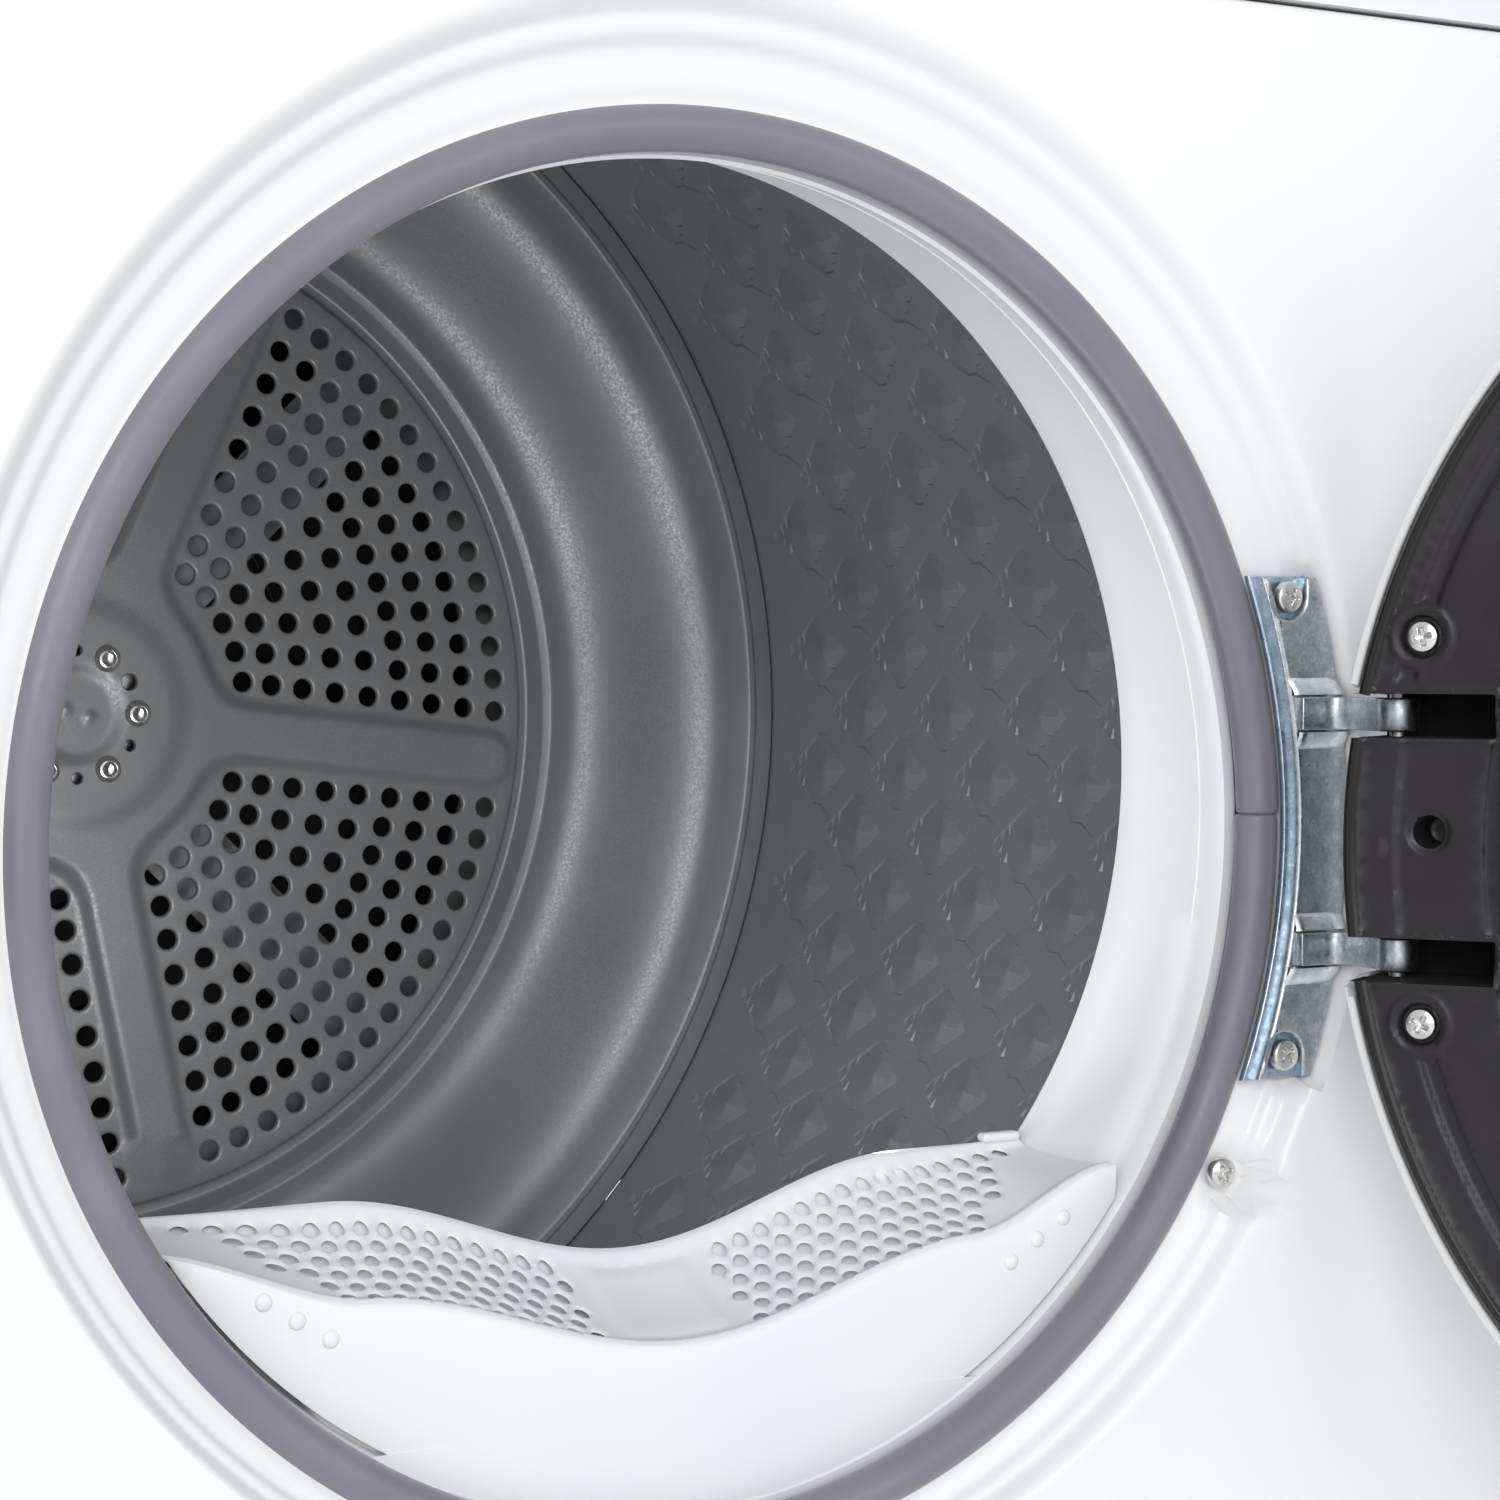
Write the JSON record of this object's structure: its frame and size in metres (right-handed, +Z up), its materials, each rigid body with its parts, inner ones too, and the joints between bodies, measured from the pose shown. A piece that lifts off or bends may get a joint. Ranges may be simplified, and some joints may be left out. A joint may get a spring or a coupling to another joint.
{
  "type": "clothes dryer",
  "caption": "Front-loading clothes dryer with its round door open, showing a perforated back plate, embossed drum wall, grey seal, lint filter and twin-arm hinge.",
  "frame": {"origin": "centre of the flat underside of the base, midway across the cabinet; the four feet reach 15 mm below it", "axes": "+Z up, -Y towards the front with the door, +X to the right seen from the front"},
  "size_m": [0.7382, 0.9838, 0.845],
  "materials": {
    "white_enamel": "gloss enamel",
    "white_plastic": "satin moulded",
    "black_plastic": "fine moulded grain",
    "door_dark": "satin moulded",
    "dark_glass": "polished",
    "clear_window": "clear",
    "drum_wall_metal": "satin dark coating",
    "drum_back_metal": "satin grey coating",
    "lifter_plastic": "fine moulded grain",
    "galvanised": "spangled zinc",
    "zinc": "bright blue zinc plate",
    "steel": "plain",
    "chrome_screw": "bright",
    "grey_rubber": "satin",
    "black_rubber": "matte",
    "felt": "felt",
    "aluminium_fins": "bare",
    "compressor_black": "gloss black",
    "board_green": "solder mask",
    "lever_blue": "satin",
    "knob_silver": "satin",
    "tank_plastic": "milky",
    "bronze": "sintered"
  },
  "bodies": {
    "cabinet": {"base_tray": "black_plastic", "feet": "black_rubber", "side_panel_left": "white_enamel", "side_panel_right": "white_enamel", "rear_panel": "galvanised", "rear_duct_cover": "galvanised", "top_panel": "white_enamel", "front_panel": "white_enamel", "control_fascia": "white_plastic", "display_window": "dark_glass", "control_board": "board_green", "tank_tray": "galvanised", "exchanger_cover": "black_plastic", "evaporator_coil": "aluminium_fins", "condenser_coil": "aluminium_fins", "compressor": "compressor_black", "drain_pump": "black_plastic", "drive_motor": "steel", "drive_belt": "black_rubber", "idler_spring": "steel", "fan_housing": "black_plastic", "rear_bearing": "bronze", "rear_felt_seal": "felt", "front_shield": "white_plastic", "front_felt_seal": "felt", "door_seal": "grey_rubber", "roller_axles": "steel", "door_lock": "black_plastic", "hinge_bracket": "zinc", "hinge_screws": "chrome_screw", "power_inlet": "black_plastic"},
    "door": {"door_inner_frame": "door_dark", "door_outer_ring": "white_plastic", "door_glass": "dark_glass", "door_window": "clear_window", "door_screws": "chrome_screw", "hinge_pins": "steel"},
    "door_hook": {"door_hook": "zinc"},
    "drum": {"drum_shell": "drum_wall_metal", "drum_back_plate": "drum_back_metal", "drum_shaft": "steel", "hub_screws": "chrome_screw", "drum_lifters": "lifter_plastic"},
    "motor_rotor": {"motor_pulley": "steel", "fan_wheel": "black_plastic"},
    "idler_arm": {"idler_arm": "zinc"},
    "idler_pulley": {"idler_pulley": "black_plastic"},
    "roller_left": {"roller_left": "black_plastic"},
    "roller_right": {"roller_right": "black_plastic"},
    "program_knob": {"program_knob": "knob_silver"},
    "power_button": {"power_button": "white_plastic"},
    "start_button": {"start_button": "white_plastic"},
    "option_button_1": {"option_button_1": "white_plastic"},
    "option_button_2": {"option_button_2": "white_plastic"},
    "water_tank": {"tank_front": "white_plastic", "water_tank": "tank_plastic"},
    "kick_panel": {"kick_panel": "white_plastic"},
    "cover_lever_left": {"cover_lever_left": "lever_blue"},
    "cover_lever_right": {"cover_lever_right": "lever_blue"},
    "lint_filter": {"lint_filter": "white_plastic"}
  },
  "joints": [
    {"name": "door_hinge", "type": "hinge", "parent": "cabinet", "child": "door", "pos_m": [0.205, -0.318, 0.485], "axis": [0, 0, 1], "range_deg": [-122, 0]},
    {"name": "door_hook_pivot", "type": "hinge", "parent": "door", "child": "door_hook", "pos_m": [0.41463, -0.66575, 0.485], "axis": [0, 0, 1], "range_deg": [-7, 0], "stiffness_Nm_per_rad": 1, "springref_deg": 5.73},
    {"name": "drum_spin", "type": "hinge", "parent": "cabinet", "child": "drum", "pos_m": [0, 0, 0.51], "axis": [0, 1, 0], "continuous": true},
    {"name": "motor_spin", "type": "hinge", "parent": "cabinet", "child": "motor_rotor", "pos_m": [0.12, 0.02, 0.105], "axis": [0, 1, 0], "continuous": true},
    {"name": "idler_spin", "type": "hinge", "parent": "idler_arm", "child": "idler_pulley", "pos_m": [0.03, 0.115, 0.135], "axis": [0, 1, 0], "continuous": true},
    {"name": "idler_swing", "type": "hinge", "parent": "cabinet", "child": "idler_arm", "pos_m": [0.075, 0.1235, 0.06], "axis": [0, 1, 0], "range_deg": [0, 10], "stiffness_Nm_per_rad": 3, "springref_deg": -11.46},
    {"name": "roller_left_spin", "type": "hinge", "parent": "cabinet", "child": "roller_left", "pos_m": [-0.14393, -0.2495, 0.27967], "axis": [0, 1, 0], "continuous": true},
    {"name": "roller_right_spin", "type": "hinge", "parent": "cabinet", "child": "roller_right", "pos_m": [0.14393, -0.2495, 0.27967], "axis": [0, 1, 0], "continuous": true},
    {"name": "knob_turn", "type": "hinge", "parent": "cabinet", "child": "program_knob", "pos_m": [-0.02, -0.3, 0.762], "axis": [0, 1, 0], "continuous": true},
    {"name": "power_button_press", "type": "slide", "parent": "cabinet", "child": "power_button", "axis": [0, 1, 0], "range_m": [0, 0.002], "stiffness_N_per_m": 600, "springref_m": -0.0015},
    {"name": "start_button_press", "type": "slide", "parent": "cabinet", "child": "start_button", "axis": [0, 1, 0], "range_m": [0, 0.002], "stiffness_N_per_m": 600, "springref_m": -0.0015},
    {"name": "option_button_1_press", "type": "slide", "parent": "cabinet", "child": "option_button_1", "axis": [0, 1, 0], "range_m": [0, 0.002], "stiffness_N_per_m": 600, "springref_m": -0.0015},
    {"name": "option_button_2_press", "type": "slide", "parent": "cabinet", "child": "option_button_2", "axis": [0, 1, 0], "range_m": [0, 0.002], "stiffness_N_per_m": 600, "springref_m": -0.0015},
    {"name": "tank_pull", "type": "slide", "parent": "cabinet", "child": "water_tank", "axis": [0, -1, 0], "range_m": [0, 0.4]},
    {"name": "kick_panel_hinge", "type": "hinge", "parent": "cabinet", "child": "kick_panel", "pos_m": [0, -0.286, 0.02], "axis": [1, 0, 0], "range_deg": [0, 90]},
    {"name": "cover_lever_left_turn", "type": "hinge", "parent": "cabinet", "child": "cover_lever_left", "pos_m": [-0.238, -0.2845, 0.17], "axis": [0, 1, 0], "range_deg": [-90, 0]},
    {"name": "cover_lever_right_turn", "type": "hinge", "parent": "cabinet", "child": "cover_lever_right", "pos_m": [-0.034, -0.2845, 0.17], "axis": [0, 1, 0], "range_deg": [0, 90]},
    {"name": "filter_lift", "type": "slide", "parent": "cabinet", "child": "lint_filter", "axis": [0, 0, 1], "range_m": [0, 0.11]}
  ],
  "couplings": [
    {"joint": "motor_spin", "follows": "drum_spin", "ratio": 28.184},
    {"joint": "idler_spin", "follows": "drum_spin", "ratio": 15.041},
    {"joint": "roller_left_spin", "follows": "drum_spin", "ratio": -12.575},
    {"joint": "roller_right_spin", "follows": "drum_spin", "ratio": -12.575}
  ]
}
